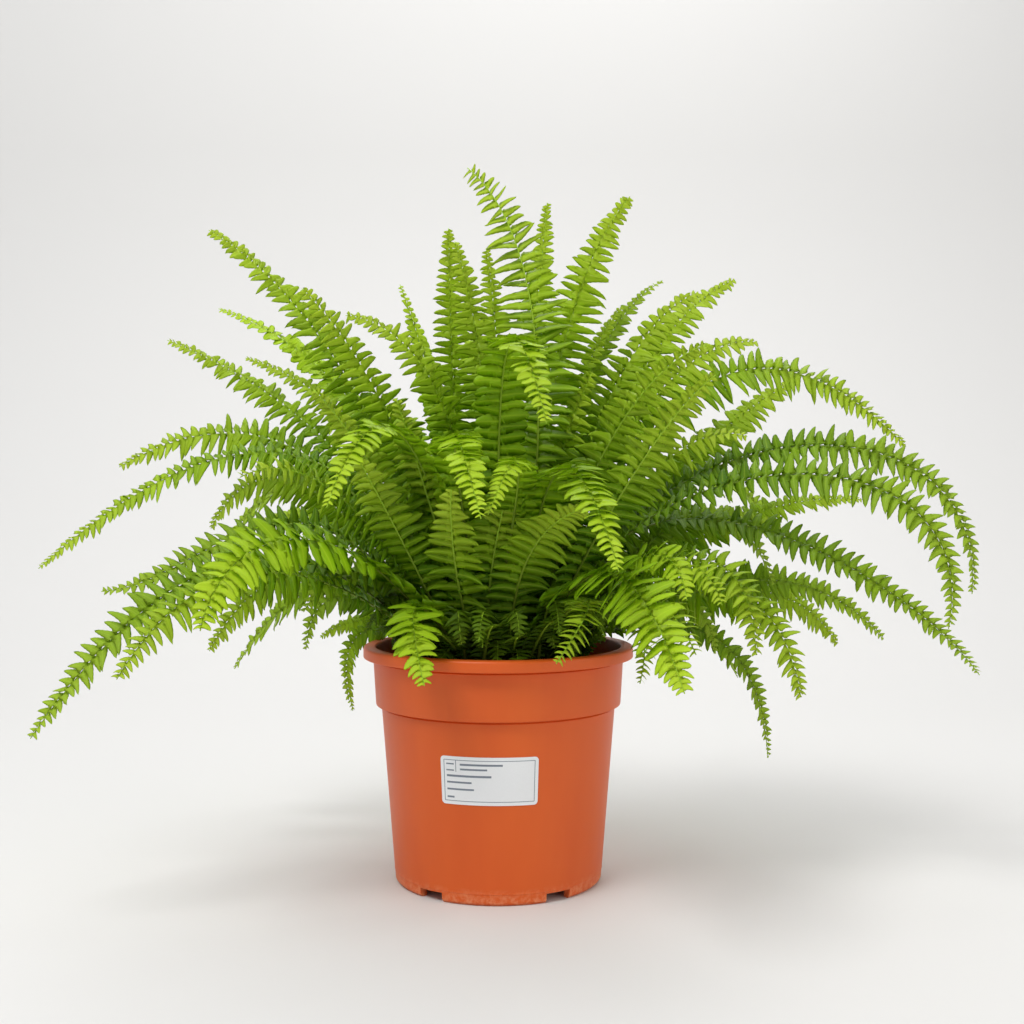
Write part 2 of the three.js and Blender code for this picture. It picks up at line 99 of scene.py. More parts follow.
def faceOutward(piece, sharpAngle):
    # every face looks out, and only edges sharper than this many degrees are crisp
    body = bmesh.new()
    body.from_mesh(piece.data)
    bmesh.ops.recalc_face_normals(body, faces=body.faces)
    body.to_mesh(piece.data)
    body.free()
    piece.data.set_sharp_from_angle(angle=math.radians(sharpAngle))


photoWidth = 1024  # pixels

view = {
    "distance": 960,      # from the pot's axis
    "height": 277.3,
    # as shares of the photograph's width: the focal length, how far left of the middle the pot's axis
    # stands, and how far above it the horizon is
    "focal": 1359 / photoWidth,
    "axisLeft": 13.65 / photoWidth,
    "horizonUp": 27.2 / photoWidth,
    "sensor": 36,
    "nearest": 50,        # nothing closer than this is drawn
}


def addCamera():
    data = bpy.data.cameras.new("camera")
    data.sensor_width = view["sensor"]
    data.lens = view["sensor"] * view["focal"]
    data.clip_start = view["nearest"] * mm
    camera = addToScene("camera", data)
    camera.location = (0, -view["distance"] * mm, view["height"] * mm)
    down = math.atan(view["horizonUp"] / view["focal"])
    right = math.atan(view["axisLeft"] / view["focal"])
    camera.rotation_euler = (math.pi / 2 - down, 0, -right)
    bpy.context.scene.camera = camera


addCamera()
print("camera set")


leafTones = {
    # leaf tissue, from new growth to the shaded crown: shade side, lit blade, soft tip
    "young": ("#6f9c0e", "#afd61e", "#d2e63e"),
    "mid": ("#437a0a", "#a6cb1c", "#cfdf48"),
    "deep": ("#4a7611", "#98bc26", "#c0d644"),
    # the crown shoots' tones are darker copies of the others: painted shade under the fronds above
    "shaded": ("#304a06", "#56780e", "#7c9a1c"),
}

leafSkin = {
    "blotch": 25,         # across
    "blotchShare": 0.5,   # how much the blotches count beside the age and painted shade along the frond, and the leaflet's own tone
    "oldAndShadedTone": -0.6,      # tone at the frond's foot: darker for older leaflets and for painted shade deep inside the crown
    "newTone": 0.25,      # tone of its outer part
    "newFrom": 0.8,       # share of the frond where that is reached
    "softFrom": 0.55,     # share of the frond where the soft tip's colour begins
    "softTip": 0.7,       # how strong it is at the very tip
    "midrib": 0.16,       # half width of the midrib, as a share of the leaflet's
    "midribTone": 0.45,
    "veins": 24,          # side veins along a leaflet, so about 1 mm apart
    "veinSlope": 0.12,    # how far they run on by the edge, as a share of the leaflet's length
    "veinHeight": 0.3,
    "glowColour": "#d2f020",
    "glowTint": 0.45,     # how far light that comes through takes on that colour
    "glow": 0.42,         # share of the light that the blade lets through
}


def fernLeafTissue(age):
    # living leaf: a waxy skin over thin green tissue, so it is satin on top and glows against the light
    shade, lit, tip = leafTones[age]
    leaf = leafSkin
    material, tree = newMaterial("fernLeafTissue_" + age)
    along, across, outward, tone = (addNode(tree, "Attribute", {"attribute_name": title}).outputs["Fac"]
                                    for title in ("along", "across", "outward", "tone"))
    place = addNode(tree, "TexCoord").outputs["Object"]
    blotch = addNode(tree, "TexNoise", {"Scale": 1 / (leaf["blotch"] * mm), "Detail": 2.0},
                     {"Vector": place})
    # darker towards the frond's foot: partly the tone of older leaflets, partly painted shade deep inside the
    # crown
    agedAndShaded = addNode(tree, "MapRange", {"From Max": leaf["newFrom"], "To Min": leaf["oldAndShadedTone"],
                                      "To Max": leaf["newTone"]}, {"Value": along})
    toned = addNode(tree, "Math", {"operation": "ADD"}, {0: agedAndShaded, 1: tone})
    mixed = addNode(tree, "Math", {"operation": "MULTIPLY_ADD", 1: leaf["blotchShare"], "use_clamp": True},
                    {0: blotch, 2: toned})
    base = addNode(tree, "Mix", {"data_type": "RGBA", colourA: srgb(shade), colourB: srgb(lit)},
                   {"Factor": mixed})
    young = addNode(tree, "MapRange", {"From Min": leaf["softFrom"], "To Max": leaf["softTip"]},
                    {"Value": along})
    tipped = addNode(tree, "Mix", {"data_type": "RGBA", colourB: srgb(tip)},
                     {"Factor": young, colourA: base.outputs[blended]})
    # the leaflet's own midrib, a paler line about 0.6 mm wide
    fromMid = addNode(tree, "Math", {"operation": "ABSOLUTE"}, {0: across})
    midrib = addNode(tree, "MapRange", {"From Max": leaf["midrib"], "To Min": leaf["midribTone"],
                                        "To Max": 0.0}, {"Value": fromMid})
    ribbed = addNode(tree, "Mix", {"data_type": "RGBA", colourB: srgb(tip)},
                     {"Factor": midrib, colourA: tipped.outputs[blended]})
    # side veins run out from the midrib and on towards the leaflet's tip
    slope = addNode(tree, "Math", {"operation": "MULTIPLY_ADD", 1: -leaf["veinSlope"]},
                    {0: fromMid, 2: outward})
    turns = addNode(tree, "Math", {"operation": "MULTIPLY", 1: leaf["veins"] * 2 * math.pi}, {0: slope})
    vein = addNode(tree, "Math", {"operation": "SINE"}, {0: turns})
    relief = addNode(tree, "Bump", {"Strength": 0.22, "Distance": leaf["veinHeight"] * mm}, {"Height": vein})
    skin = addNode(tree, "BsdfPrincipled", {"Roughness": 0.4, "IOR": 1.38, "Specular IOR Level": 0.3},
                   {"Base Color": ribbed.outputs[blended], "Normal": relief})
    glowColour = addNode(tree, "Mix", {"data_type": "RGBA", "Factor": leaf["glowTint"],
                                       colourB: srgb(leaf["glowColour"])},
                         {colourA: ribbed.outputs[blended]})
    glow = addNode(tree, "BsdfTranslucent", {}, {"Color": glowColour.outputs[blended], "Normal": relief})
    both = addNode(tree, "MixShader", {0: leaf["glow"]}, {1: skin, 2: glow})
    addNode(tree, "OutputMaterial", {}, {"Surface": both})
    return material


def frondRachis():
    # the frond's stalk and rib, a smooth woody skin: satin, brown at the foot and pale green above
    material, tree = newMaterial("frondRachis")
    along = addNode(tree, "Attribute", {"attribute_name": "along"}).outputs["Fac"]
    age = addNode(tree, "MapRange", {"From Min": 0.02, "From Max": 0.85}, {"Value": along})
    colour = addNode(tree, "Mix", {"data_type": "RGBA", colourA: srgb("#38330f"), colourB: srgb("#a3c832")},
                     {"Factor": age})
    skin = addNode(tree, "BsdfPrincipled", {"Roughness": 0.5, "Specular IOR Level": 0.25},
                   {"Base Color": colour.outputs[blended]})
    addNode(tree, "OutputMaterial", {}, {"Surface": skin})
    return material


def mouldedPolypropylene():
    # terracotta-coloured polypropylene, injection moulded: an even satin with faint flow marks,
    # rubbed pale and dull where the foot drags on benches
    material, tree = newMaterial("mouldedPolypropylene")
    place = addNode(tree, "TexCoord").outputs["Object"]
    # flow marks about 30 mm wide and 140 mm long, up the wall
    stretch = addNode(tree, "Mapping", {"Scale": (1 / (30 * mm), 1 / (30 * mm), 1 / (140 * mm))},
                      {"Vector": place})
    flow = addNode(tree, "TexNoise", {"Scale": 1.0, "Detail": 3.0}, {"Vector": stretch})
    colour = addNode(tree, "Mix", {"data_type": "RGBA", colourA: srgb("#cf5215"), colourB: srgb("#e0641f")},
                     {"Factor": flow})
    # rubbed foot: from the table up to about 12 mm, broken up by 4 mm scuffs
    scuff = addNode(tree, "TexNoise", {"Scale": 1 / (4 * mm), "Detail": 5.0, "Roughness": 0.65},
                    {"Vector": place})
    height = addNode(tree, "SeparateXYZ", {}, {0: place}).outputs["Z"]
    low = addNode(tree, "MapRange", {"From Min": 1 * mm, "From Max": 12 * mm, "To Min": 1.0, "To Max": 0.0},
                  {"Value": height})
    patches = addNode(tree, "MapRange", {"From Min": 0.42, "From Max": 0.68}, {"Value": scuff})
    broken = addNode(tree, "Math", {"operation": "MULTIPLY"}, {0: low, 1: patches})
    worn = addNode(tree, "Mix", {"data_type": "RGBA", colourB: srgb("#e8976a")},
                   {"Factor": broken, colourA: colour.outputs[blended]})
    # moulded skin, grain 0.6 mm
    grain = addNode(tree, "TexNoise", {"Scale": 1 / (0.6 * mm), "Detail": 2.0}, {"Vector": place})
    relief = addNode(tree, "Bump", {"Strength": 0.06, "Distance": 0.2 * mm}, {"Height": grain})
    gloss = addNode(tree, "MapRange", {"To Min": 0.44, "To Max": 0.64}, {"Value": broken})
    skin = addNode(tree, "BsdfPrincipled", {"IOR": 1.42, "Subsurface Weight": 0.06, "Subsurface Scale": 1.0,
                                            "Subsurface Radius": (4 * mm, 1.5 * mm, 0.6 * mm)},
                   {"Base Color": worn.outputs[blended], "Roughness": gloss, "Normal": relief})
    addNode(tree, "OutputMaterial", {}, {"Surface": skin})
    return material


def peatMix(name, dark, light):
    # moist peat or composted bark, broken into 3 mm crumbs: nearly black and matt, with paler flecks
    material, tree = newMaterial(name)
    place = addNode(tree, "TexCoord").outputs["Object"]
    crumbs = addNode(tree, "TexNoise", {"Scale": 1 / (3 * mm), "Detail": 6.0, "Roughness": 0.7},
                     {"Vector": place})
    colour = addNode(tree, "Mix", {"data_type": "RGBA", colourA: srgb(dark), colourB: srgb(light)},
                     {"Factor": crumbs})
    relief = addNode(tree, "Bump", {"Strength": 0.7, "Distance": 1 * mm}, {"Height": crumbs})
    skin = addNode(tree, "BsdfPrincipled", {"Roughness": 0.95},
                   {"Base Color": colour.outputs[blended], "Normal": relief})
    addNode(tree, "OutputMaterial", {}, {"Surface": skin})
    return material


def labelPaper(name, code, roughness):
    # coated self-adhesive paper, bare or printed: smooth and nearly even, with a trace of 0.8 mm fibre
    material, tree = newMaterial(name)
    place = addNode(tree, "TexCoord").outputs["Object"]
    fibre = addNode(tree, "TexNoise", {"Scale": 1 / (0.8 * mm), "Detail": 3.0}, {"Vector": place})
    bright = srgb(code)
    dull = [c * 0.93 for c in bright[:3]] + [1.0]
    colour = addNode(tree, "Mix", {"data_type": "RGBA", colourA: dull, colourB: bright}, {"Factor": fibre})
    relief = addNode(tree, "Bump", {"Strength": 0.05, "Distance": 0.1 * mm}, {"Height": fibre})
    skin = addNode(tree, "BsdfPrincipled", {"Roughness": roughness},
                   {"Base Color": colour.outputs[blended], "Normal": relief})
    addNode(tree, "OutputMaterial", {}, {"Surface": skin})
    return material


def mattPaint(name, code):
    # matt emulsion paint: one flat, dull tone with no shine of its own
    material, tree = newMaterial(name)
    skin = addNode(tree, "BsdfPrincipled", {"Base Color": srgb(code), "Roughness": 0.7})
    addNode(tree, "OutputMaterial", {}, {"Surface": skin})
    return material


leafMaterials = {age: fernLeafTissue(age) for age in leafTones}
rachis = frondRachis()
print("materials made")


pot = {
    "wall": 1.8,
    "footRadius": 70.6,
    "footBevel": 2.0,
    "notchTop": 6.5,
    # moulding line above the notches: height, how far it stands out, and how round it is
    "seam": [(7.4, 0.0, 0.3), (8.2, 0.25, 0.3), (9.4, 0.1, 0.4)],
    "collarStart": 124.0,
    "wallTopRadius": 82.2,
    "collarRadius": 86.2,
    "collarTopRadius": 88.0,
    "innerStep": 1.2,     # inside, the collar's step runs from this far below to this far above its start
    "lipBottom": 157.0,
    "lipRadius": 95.0,
    "groove": 0.9,        # depth of the sharp corners under the collar and the lip
    "grooveHeight": 1.4,
    "grooveSlope": 0.8,   # height over which it deepens
    "overhang": 0.2,      # how far the outer edge of the collar and of the lip hangs lower
    "height": 164.5,
    "floorBottom": 6.8,
    "floorTop": 8.8,
    "footRing": 3.4,
    "columns": 360,       # one a degree
    "rowHeight": 8,       # rows of faces are up to about twice as tall
    "notches": 5,
    "notchAngle": -38.4,  # from the front, positive to the right
    "notchWidth": 17.5,
    "crisp": 40,          # edges sharper than this many degrees stay crisp
}

# a small swelling that the moulding left above the left notch
blister = {
    "angle": -38,
    "radius": 73,
    "height": 9.5,
    "size": 5,
    "swell": 0.9,
    "fade": 1.6,          # how fast it falls off,
    "reach": 2,           # and how many times its size it reaches
    "outside": 71.9,      # only the wall's outer skin, beyond this radius, swells
}


def rounded(points, radii, steps=4):
    # replaces each corner of a closed outline by a small arc of its own radius
    outline = []
    for i, (corner, radius) in enumerate(zip(points, radii)):
        here = Vector(corner)
        before = Vector(points[i - 1])
        after = Vector(points[(i + 1) % len(points)])
        if radius == 0:
            outline.append(tuple(here))
            continue
        a = (before - here).normalized()
        b = (after - here).normalized()
        most = 0.45 * min((before - here).length, (after - here).length)  # room for both corners of an edge
        reach = min(radius / math.tan(a.angle(b) / 2), most)
        for k in range(steps + 1):
            t = k / steps
            outline.append(tuple((here + a * reach) * (1 - t) ** 2 + here * 2 * t * (1 - t)
                                 + (here + b * reach) * t ** 2))
    return outline


def wallRadius(height):
    share = (height - pot["footBevel"]) / (pot["collarStart"] - pot["footBevel"])
    return blendBetween(pot["footRadius"] + pot["footBevel"], pot["wallTopRadius"], share)


def stepOut(low, high, height):
    # the wall steps out from one radius to the next, over a sharp groove
    deep = low - pot["groove"]
    top = height - pot["grooveHeight"]
    return [((low, top - pot["grooveSlope"]), 0.4), ((deep, top), 0.2), ((deep, height), 0.2),
            ((high, height - pot["overhang"]), 0.5)]


def potOutline():
    # half of the pot's section as radius and height: up the outside, down the inside and round the foot
    p = pot
    wall, ring = p["wall"], p["footRadius"] - p["footRing"]
    # each corner, and how round it is
    corners = [((p["footRadius"], 0), 0.5), ((p["footRadius"] + p["footBevel"], p["footBevel"]), 0.8),
               ((wallRadius(p["notchTop"]), p["notchTop"]), 0)]
    corners += [((wallRadius(height) + proud, height), roundness) for height, proud, roundness in p["seam"]]
    corners += stepOut(p["wallTopRadius"], p["collarRadius"], p["collarStart"])
    corners += stepOut(p["collarTopRadius"], p["lipRadius"], p["lipBottom"])
    corners += [
        ((p["lipRadius"], p["height"]), 2.2), ((p["collarTopRadius"] - wall, p["height"]), 1.8),
        ((p["collarRadius"] - wall, p["collarStart"] + p["innerStep"]), 1.0),
        ((p["wallTopRadius"] - wall, p["collarStart"] - p["innerStep"]), 1.0),
        ((wallRadius(p["floorTop"]) - wall, p["floorTop"]), 1.0),
        ((0, p["floorTop"]), 0), ((0, p["floorBottom"]), 0),
        ((ring, p["floorBottom"]), 0), ((ring, p["notchTop"]), 0), ((ring, 0), 0.5),
    ]
    outline = rounded([c for c, _ in corners], [r for _, r in corners])
    # long stretches get rows of their own, so that shading stays even
    rows = []
    for i, point in enumerate(outline):
        nextPoint = outline[(i + 1) % len(outline)]
        pieces = max(1, int(math.dist(point, nextPoint) / p["rowHeight"]))
        for k in range(pieces):
            rows.append(tuple(blendBetween(a, b, k / pieces) for a, b in zip(point, nextPoint)))
    return rows


def swellBlister(piece):
    angle, size = math.radians(blister["angle"]), blister["size"] * mm
    middle = Vector((math.sin(angle) * blister["radius"], -math.cos(angle) * blister["radius"],
                     blister["height"])) * mm
    for vertex in piece.data.vertices:
        near = (vertex.co - middle).length / size
        radius = math.hypot(vertex.co.x, vertex.co.y)
        if near < blister["reach"] and radius > blister["outside"] * mm:
            swell = blister["swell"] * mm * math.exp(-near * near * blister["fade"]) / radius
            vertex.co.x += vertex.co.x * swell
            vertex.co.y += vertex.co.y * swell


def buildPot():
    p = pot
    rows, count = potOutline(), p["columns"]
    verts, index = [], {}
    for i, (radius, height) in enumerate(rows):
        for j in range(count if radius > 1e-6 else 1):  # one point is enough on the axis
            angle = math.radians(j * 360 / count - 90)
            index[i, j] = len(verts)
            verts.append((radius * math.cos(angle) * mm, radius * math.sin(angle) * mm, height * mm))

    def at(i, j):
        i = i % len(rows)
        return index.get((i, j % count), index[i, 0])

    def nearest(radius, height):
        return min(range(len(rows)), key=lambda i: math.dist(rows[i], (radius, height)))

    # the notches cut through the foot ring: the rows under their top are left out, and closed again
    outerTop = nearest(wallRadius(p["notchTop"]), p["notchTop"])
    innerTop = nearest(p["footRadius"] - p["footRing"], p["notchTop"])
    under = list(range(innerTop, len(rows))) + list(range(0, outerTop + 1))
    half = math.degrees(p["notchWidth"] / 2 / p["footRadius"])
    spans = []
    for n in range(p["notches"]):
        middle = p["notchAngle"] + 360 / p["notches"] * n
        spans.append((round(middle - half), round(middle + half)))
    cut = {j % count for a, b in spans for j in range(a, b)}
    faces = []
    for i in range(len(rows)):
        for j in range(count):
            if j in cut and i in under[:-1]:
                continue
            corner = [at(i, j), at(i, j + 1), at(i + 1, j + 1), at(i + 1, j)]
            corner = [v for k, v in enumerate(corner) if v not in corner[:k]]
            if len(corner) > 2:
                faces.append(corner)
    for a, b in spans:
        for j in range(a, b):
            faces.append([at(outerTop, j), at(outerTop, j + 1), at(innerTop, j + 1), at(innerTop, j)])
        for j in (a, b):
            faces.append([at(i, j) for i in under])
    piece = addObject("moulded_pot", verts, faces, [mouldedPolypropylene()])
    swellBlister(piece)
    faceOutward(piece, p["crisp"])
    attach(piece, "root")
    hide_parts("pot")


buildPot()
print("pot moulded")


label = {
    "width": 65.0,
    "height": 32.0,
    "corner": 2.5,
    "cornerSteps": 4,
    "centreHeight": 84.0,
    "centreAngle": -4.5,
    "lift": 0.35,         # it lies on the wall
    "thick": 0.25,
    "columns": 40,
    "rows": 8,
    "crisp": 50,          # as on the pot
    "keyInset": 2.2,      # thin line round the label's field
    "keyWidth": 0.45,
    "rule": (8.5, 8.0),   # short upright rule at the top left: how far in from the thin line, and how long
    # plain grey bars: left, top, length, height, from the top left corner
    "bars": [(13.5, 4.6, 28, 1.3), (13.5, 7.8, 18, 1.2), (4.2, 12.2, 30, 1.4), (4.2, 16.6, 17, 1.2),
             (4.2, 21.2, 18.5, 1.2), (4.2, 26.4, 5, 1.2), (4.0, 4.6, 5.4, 0.9), (4.0, 8.8, 5.4, 0.9)],
}


def labelInk():
    # every printed rectangle: its left, top, right and bottom from the label's top left corner
    inset, line = label["keyInset"], label["keyWidth"]
    right, bottom = label["width"] - inset, label["height"] - inset
    ruleX, ruleEnd = inset + label["rule"][0], inset + label["rule"][1]
    ink = [(inset, inset, right, inset + line), (inset, bottom - line, right, bottom),
           (inset, inset, inset + line, bottom), (right - line, inset, right, bottom),
           (ruleX - line / 2, inset, ruleX + line / 2, ruleEnd)]
    return ink + [(left, top, left + length, top + high) for left, top, length, high in label["bars"]]


def labelGrid():
    # the lines of the label's grid: each printed edge lies on one, and its rounded corners have their own
    w, h, r, steps = label["width"], label["height"], label["corner"], label["cornerSteps"]
    xs = {0, w, r, w - r} | {w * k / label["columns"] for k in range(label["columns"] + 1)}
    ys = {0, h, r, h - r} | {h * k / label["rows"] for k in range(label["rows"] + 1)}
    for k in range(1, steps):
        bend = r * (1 - math.cos(math.pi / 2 * k / steps))
        xs |= {bend, w - bend}
        ys |= {bend, h - bend}
    for left, top, right, bottom in labelInk():
        xs |= {left, right}
        ys |= {top, bottom}
    return sorted(xs), sorted(ys)


def labelPoint(x, y, lift):
    # from the label's flat sheet to its place round the pot
    w, h, r = label["width"], label["height"], label["corner"]
    # points near a corner move in to the corner's arc
    cx, cy = min(max(x, r), w - r), min(max(y, r), h - r)
    far = math.hypot(x - cx, y - cy)
    reach = max(abs(x - cx), abs(y - cy))
    if far > 1e-9:
        x, y = cx + (x - cx) * reach / far, cy + (y - cy) * reach / far
    z = label["centreHeight"] + h / 2 - y
    radius = wallRadius(z) + label["lift"] + lift
    angle = math.radians(label["centreAngle"] - 90) + (x - w / 2) / wallRadius(label["centreHeight"])
    return radius * math.cos(angle) * mm, radius * math.sin(angle) * mm, z * mm


def buildLabel():
    xs, ys = labelGrid()
    ink = labelInk()
    verts = [labelPoint(x, y, lift) for lift in (label["thick"], 0.0) for y in ys for x in xs]
    faces, kinds = [], []
    wide, size = len(xs), len(xs) * len(ys)
    for b in range(len(ys) - 1):
        for a in range(wide - 1):
            v = b * wide + a
            front = [v, v + wide, v + wide + 1, v + 1]
            faces.append(front)
            x, y = (xs[a] + xs[a + 1]) / 2, (ys[b] + ys[b + 1]) / 2
            printed = any(left < x < right and top < y < bottom for left, top, right, bottom in ink)
            kinds.append(1 if printed else 0)
            faces.append([i + size for i in reversed(front)])
            kinds.append(0)
    rim = list(range(wide)) + [b * wide + wide - 1 for b in range(1, len(ys))]
    rim += [(len(ys) - 1) * wide + a for a in range(wide - 2, -1, -1)]
    rim += [b * wide for b in range(len(ys) - 2, 0, -1)]
    for i, v in enumerate(rim):
        nextV = rim[(i + 1) % len(rim)]
        faces.append([v, nextV, nextV + size, v + size])
        kinds.append(0)
    materials = [labelPaper("coatedLabelPaper", "#eceef0", 0.45), labelPaper("greyLabelInk", "#76808c", 0.5)]
    piece = addObject("paper_label", verts, faces, materials)
    piece.data.polygons.foreach_set("material_index", kinds)
    faceOutward(piece, label["crisp"])
    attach(piece, "root")
    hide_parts("label")


buildLabel()
print("label laid on")


soil = {
    "edgeHeight": 148.0,
    "plateauHeight": 152.0,
    "sunk": 1.0,          # how far the bed's mean height lies under the plateau
    "slopeFrom": 50,      # radius where the bed begins to fall to its edge
    "slopeTo": 84,
    "clearance": 0.4,
    "rings": 44,
    "columns": 160,
    "lumps": {"high": 2.2, "wide": 14, "layer": 3.1},
    "crumbs": {"high": 0.8, "wide": 4, "layer": 7.7},
    "bendAbove": 1.7,     # its side steps in with the pot's wall, from here above the collar's start
    "bendBelow": 1.6,     # to here below it
}

looseCrumbs = {
    "count": 620,
    "size": (0.7, 2.3),   # radius
    "stretch": ((0.6, 1.5), (0.6, 1.2), (0.4, 0.8)),  # along, across and up
    "rough": 0.22,
    "spread": 0.97,       # share of the bed that they cover, from its middle
    "raised": 0.25,       # how high each one's middle lies, as a share of its size
    "seed": 4,
}


def soilHeight(x, y):
    slope = smoothStep(math.hypot(x, y), soil["slopeFrom"], soil["slopeTo"])
    height = blendBetween(soil["plateauHeight"] - soil["sunk"], soil["edgeHeight"], slope)
    for bumps in (soil["lumps"], soil["crumbs"]):
        height += noise.noise(Vector((x / bumps["wide"], y / bumps["wide"], bumps["layer"]))) * bumps["high"]
    return height


def soilEdge():
    # radius of the bed where its top meets the collar
    low = pot["collarStart"] + pot["innerStep"]
    risen = (soil["edgeHeight"] - low) / (pot["height"] - low)
    return blendBetween(pot["collarRadius"], pot["collarTopRadius"], risen) - pot["wall"] - soil["clearance"]


def ringPoints(radius):
    for j in range(soil["columns"]):
        angle = 2 * math.pi * j / soil["columns"]
        yield radius * math.cos(angle), radius * math.sin(angle)


def buildSoilBed():
    p = pot
    verts = [(0, 0, soilHeight(0, 0) * mm)]
    for i in range(1, soil["rings"] + 1):
        for x, y in ringPoints(soilEdge() * i / soil["rings"]):
            verts.append((x * mm, y * mm, soilHeight(x, y) * mm))
    inside = p["wall"] + soil["clearance"]
    sides = [(p["collarRadius"] - inside, p["collarStart"] + soil["bendAbove"]),
             (p["wallTopRadius"] - inside, p["collarStart"] - soil["bendBelow"]),
             (wallRadius(p["floorTop"]) - inside, p["floorTop"] + soil["clearance"])]
    for radius, height in sides:
        verts.extend((x * mm, y * mm, height * mm) for x, y in ringPoints(radius))
    verts.append((0, 0, sides[-1][1] * mm))
    faces, count = [], soil["columns"]
    rows = soil["rings"] + len(sides)
    for j in range(count):
        k = (j + 1) % count
        faces.append([0, 1 + j, 1 + k])
        for i in range(rows - 1):
            a = 1 + i * count
            faces.append([a + j, a + count + j, a + count + k, a + k])
        a = 1 + (rows - 1) * count
        faces.append([a + k, a + j, len(verts) - 1])
    bed = addObject("soil_bed", verts, faces, [peatMix("moistPeat", "#140d08", "#3a281a")])
    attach(bed, "root")
    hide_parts("soil")


def scatterCrumbs():
    # loose crumbs of bark and peat lying on the bed
    dice = random.Random(looseCrumbs["seed"])
    body = bmesh.new()
    for _ in range(looseCrumbs["count"]):
        radius = soilEdge() * looseCrumbs["spread"] * math.sqrt(dice.random())
        angle = dice.uniform(0, 2 * math.pi)
        x, y = radius * math.cos(angle), radius * math.sin(angle)
        size = dice.uniform(*looseCrumbs["size"])
        made = bmesh.ops.create_icosphere(body, subdivisions=1, radius=size * mm)["verts"]
        stretch = [dice.uniform(*span) for span in looseCrumbs["stretch"]]
        turn = dice.uniform(0, math.pi)
        middle = Vector((x, y, soilHeight(x, y) + size * looseCrumbs["raised"])) * mm
        for vertex in made:
            rough = 1 + dice.uniform(-looseCrumbs["rough"], looseCrumbs["rough"])
            a, b, c = (length * times * rough for length, times in zip(vertex.co, stretch))
            vertex.co = middle + Vector((a * math.cos(turn) - b * math.sin(turn),
                                         a * math.sin(turn) + b * math.cos(turn), c))
    mesh = bpy.data.meshes.new("bark_crumbs")
    body.to_mesh(mesh)
    body.free()
    mesh.materials.append(peatMix("compostedBark", "#1d130b", "#54391f"))
    crumbs = addToScene("bark_crumbs", mesh)
    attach(crumbs, "root")


buildSoilBed()
scatterCrumbs()
print("soil filled in")


